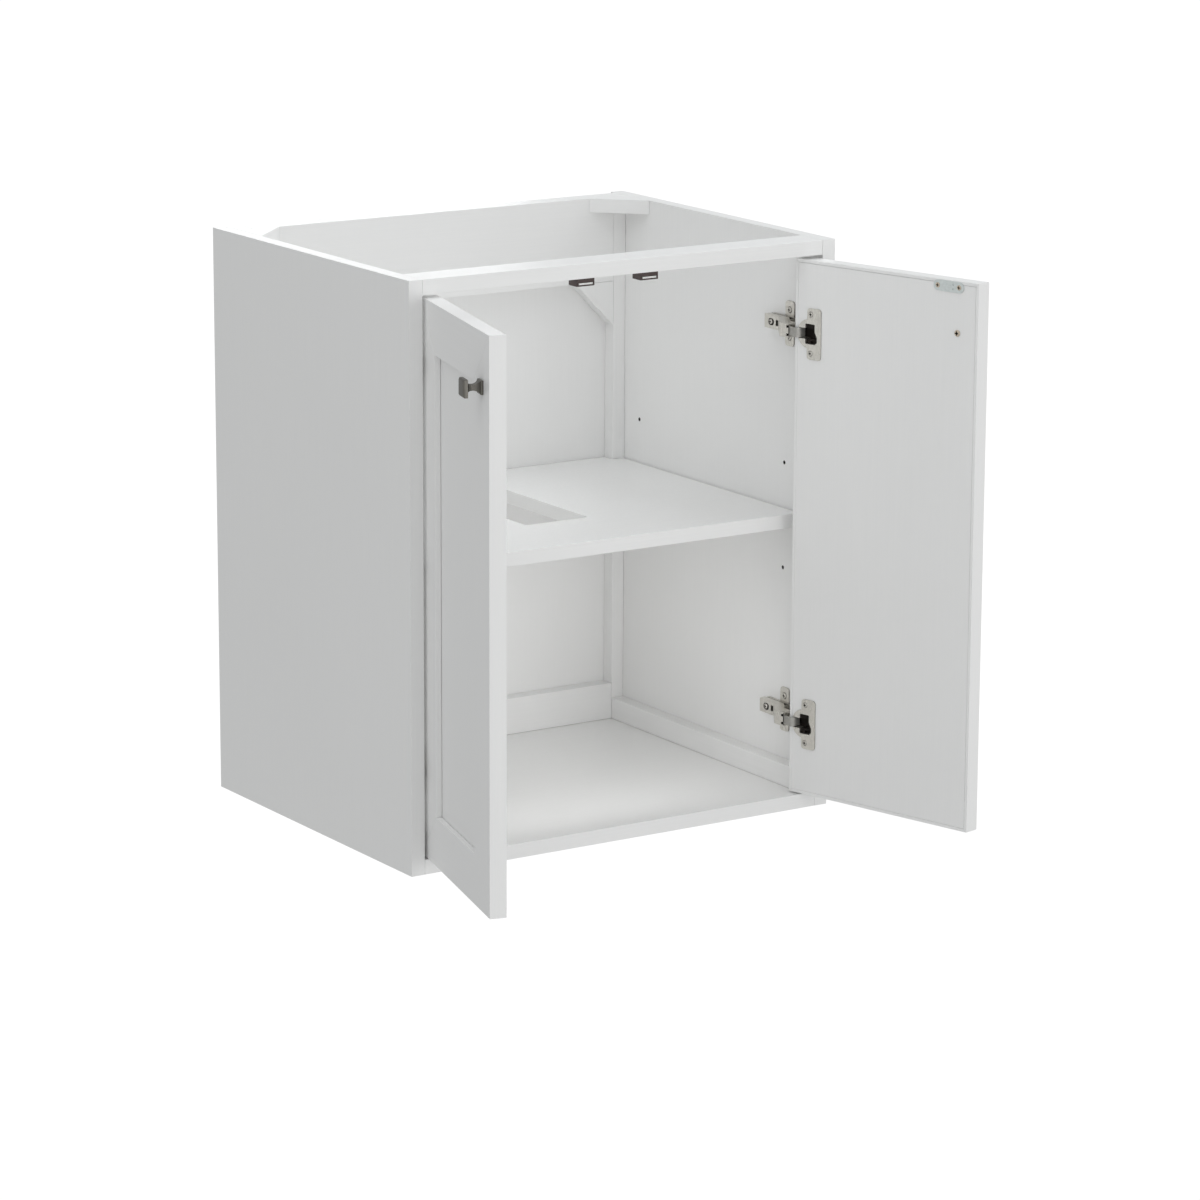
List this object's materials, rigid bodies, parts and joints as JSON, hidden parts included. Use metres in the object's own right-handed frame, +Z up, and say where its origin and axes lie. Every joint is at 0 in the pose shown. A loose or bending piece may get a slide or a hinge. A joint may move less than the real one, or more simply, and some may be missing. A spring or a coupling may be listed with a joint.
{
  "type": "wall cabinet",
  "caption": "Wall-hung base cabinet with an open top, a notched shelf, a back hanging rail and two inset framed doors on concealed hinges.",
  "frame": {"origin": "middle of the wall plane at the height of the wall screws in the hanging rail", "axes": "+Z up, +X to the right seen from the front, +Y towards the wall, so the front faces -Y"},
  "size_m": [0.7252, 0.723, 0.71],
  "materials": {
    "white_lacquer": "satin white lacquer on board",
    "nickel": "nickel plated sheet, satin",
    "dark_nickel": "dark brushed nickel",
    "zinc": "zinc plated, satin",
    "brown_plastic": "dark brown moulded plastic"
  },
  "bodies": {
    "carcass": {"left_side_panel": "white_lacquer", "right_side_panel": "white_lacquer", "bottom_panel": "white_lacquer", "top_front_stretcher": "white_lacquer", "back_panel": "white_lacquer", "hanging_rail": "white_lacquer", "back_bottom_rail": "white_lacquer", "back_post_left": "white_lacquer", "back_post_right": "white_lacquer", "gusset_left": "white_lacquer", "gusset_right": "white_lacquer", "floor_cleat_left": "white_lacquer", "floor_cleat_right": "white_lacquer", "corner_block_left": "white_lacquer", "corner_block_right": "white_lacquer", "shelf_support_left_front": "zinc", "shelf_support_left_back": "zinc", "shelf_support_right_front": "zinc", "shelf_support_right_back": "zinc", "catch_housing_left": "brown_plastic", "catch_housing_right": "brown_plastic", "catch_magnet_left": "zinc", "catch_magnet_right": "zinc", "left_upper_hinge_mounting_plate": "nickel", "left_upper_hinge_arm": "nickel", "left_upper_hinge_pivot_pin": "nickel", "left_lower_hinge_mounting_plate": "nickel", "left_lower_hinge_arm": "nickel", "left_lower_hinge_pivot_pin": "nickel", "right_upper_hinge_mounting_plate": "nickel", "right_upper_hinge_arm": "nickel", "right_upper_hinge_pivot_pin": "nickel", "right_lower_hinge_mounting_plate": "nickel", "right_lower_hinge_arm": "nickel", "right_lower_hinge_pivot_pin": "nickel"},
    "shelf": {"shelf": "white_lacquer"},
    "left_door": {"left_door_hinge_stile": "white_lacquer", "left_door_lock_stile": "white_lacquer", "left_door_bottom_rail": "white_lacquer", "left_door_top_rail": "white_lacquer", "left_door_panel": "white_lacquer", "left_door_knob": "dark_nickel", "left_door_knob_screw": "zinc", "left_door_strike_plate": "zinc", "left_upper_hinge_cup": "nickel", "left_lower_hinge_cup": "nickel"},
    "right_door": {"right_door_hinge_stile": "white_lacquer", "right_door_lock_stile": "white_lacquer", "right_door_bottom_rail": "white_lacquer", "right_door_top_rail": "white_lacquer", "right_door_panel": "white_lacquer", "right_door_knob": "dark_nickel", "right_door_knob_screw": "zinc", "right_door_strike_plate": "zinc", "right_upper_hinge_cup": "nickel", "right_lower_hinge_cup": "nickel"},
    "left_hinge_links": {"left_upper_hinge_link": "nickel", "left_lower_hinge_link": "nickel"},
    "right_hinge_links": {"right_upper_hinge_link": "nickel", "right_lower_hinge_link": "nickel"}
  },
  "joints": [
    {"name": "left_door_hinge", "type": "hinge", "parent": "carcass", "child": "left_door", "pos_m": [-0.268, -0.462, 0], "axis": [0, 0, -1], "range_deg": [-105, 0]},
    {"name": "left_hinge_links_turn", "type": "hinge", "parent": "carcass", "child": "left_hinge_links", "pos_m": [-0.2525, -0.439, 0], "axis": [0, 0, -1], "range_deg": [0, 18.3]},
    {"name": "right_door_hinge", "type": "hinge", "parent": "carcass", "child": "right_door", "pos_m": [0.268, -0.462, 0], "axis": [0, 0, 1], "range_deg": [-105, 0]},
    {"name": "right_hinge_links_turn", "type": "hinge", "parent": "carcass", "child": "right_hinge_links", "pos_m": [0.2525, -0.439, 0], "axis": [0, 0, 1], "range_deg": [0, 18.3]},
    {"name": "shelf_lift", "type": "slide", "parent": "carcass", "child": "shelf", "axis": [0, 0, 1], "range_m": [0, 0.06]}
  ],
  "couplings": [
    {"joint": "left_hinge_links_turn", "follows": "left_door_hinge", "ratio": -0.1738},
    {"joint": "right_hinge_links_turn", "follows": "right_door_hinge", "ratio": -0.1738}
  ]
}
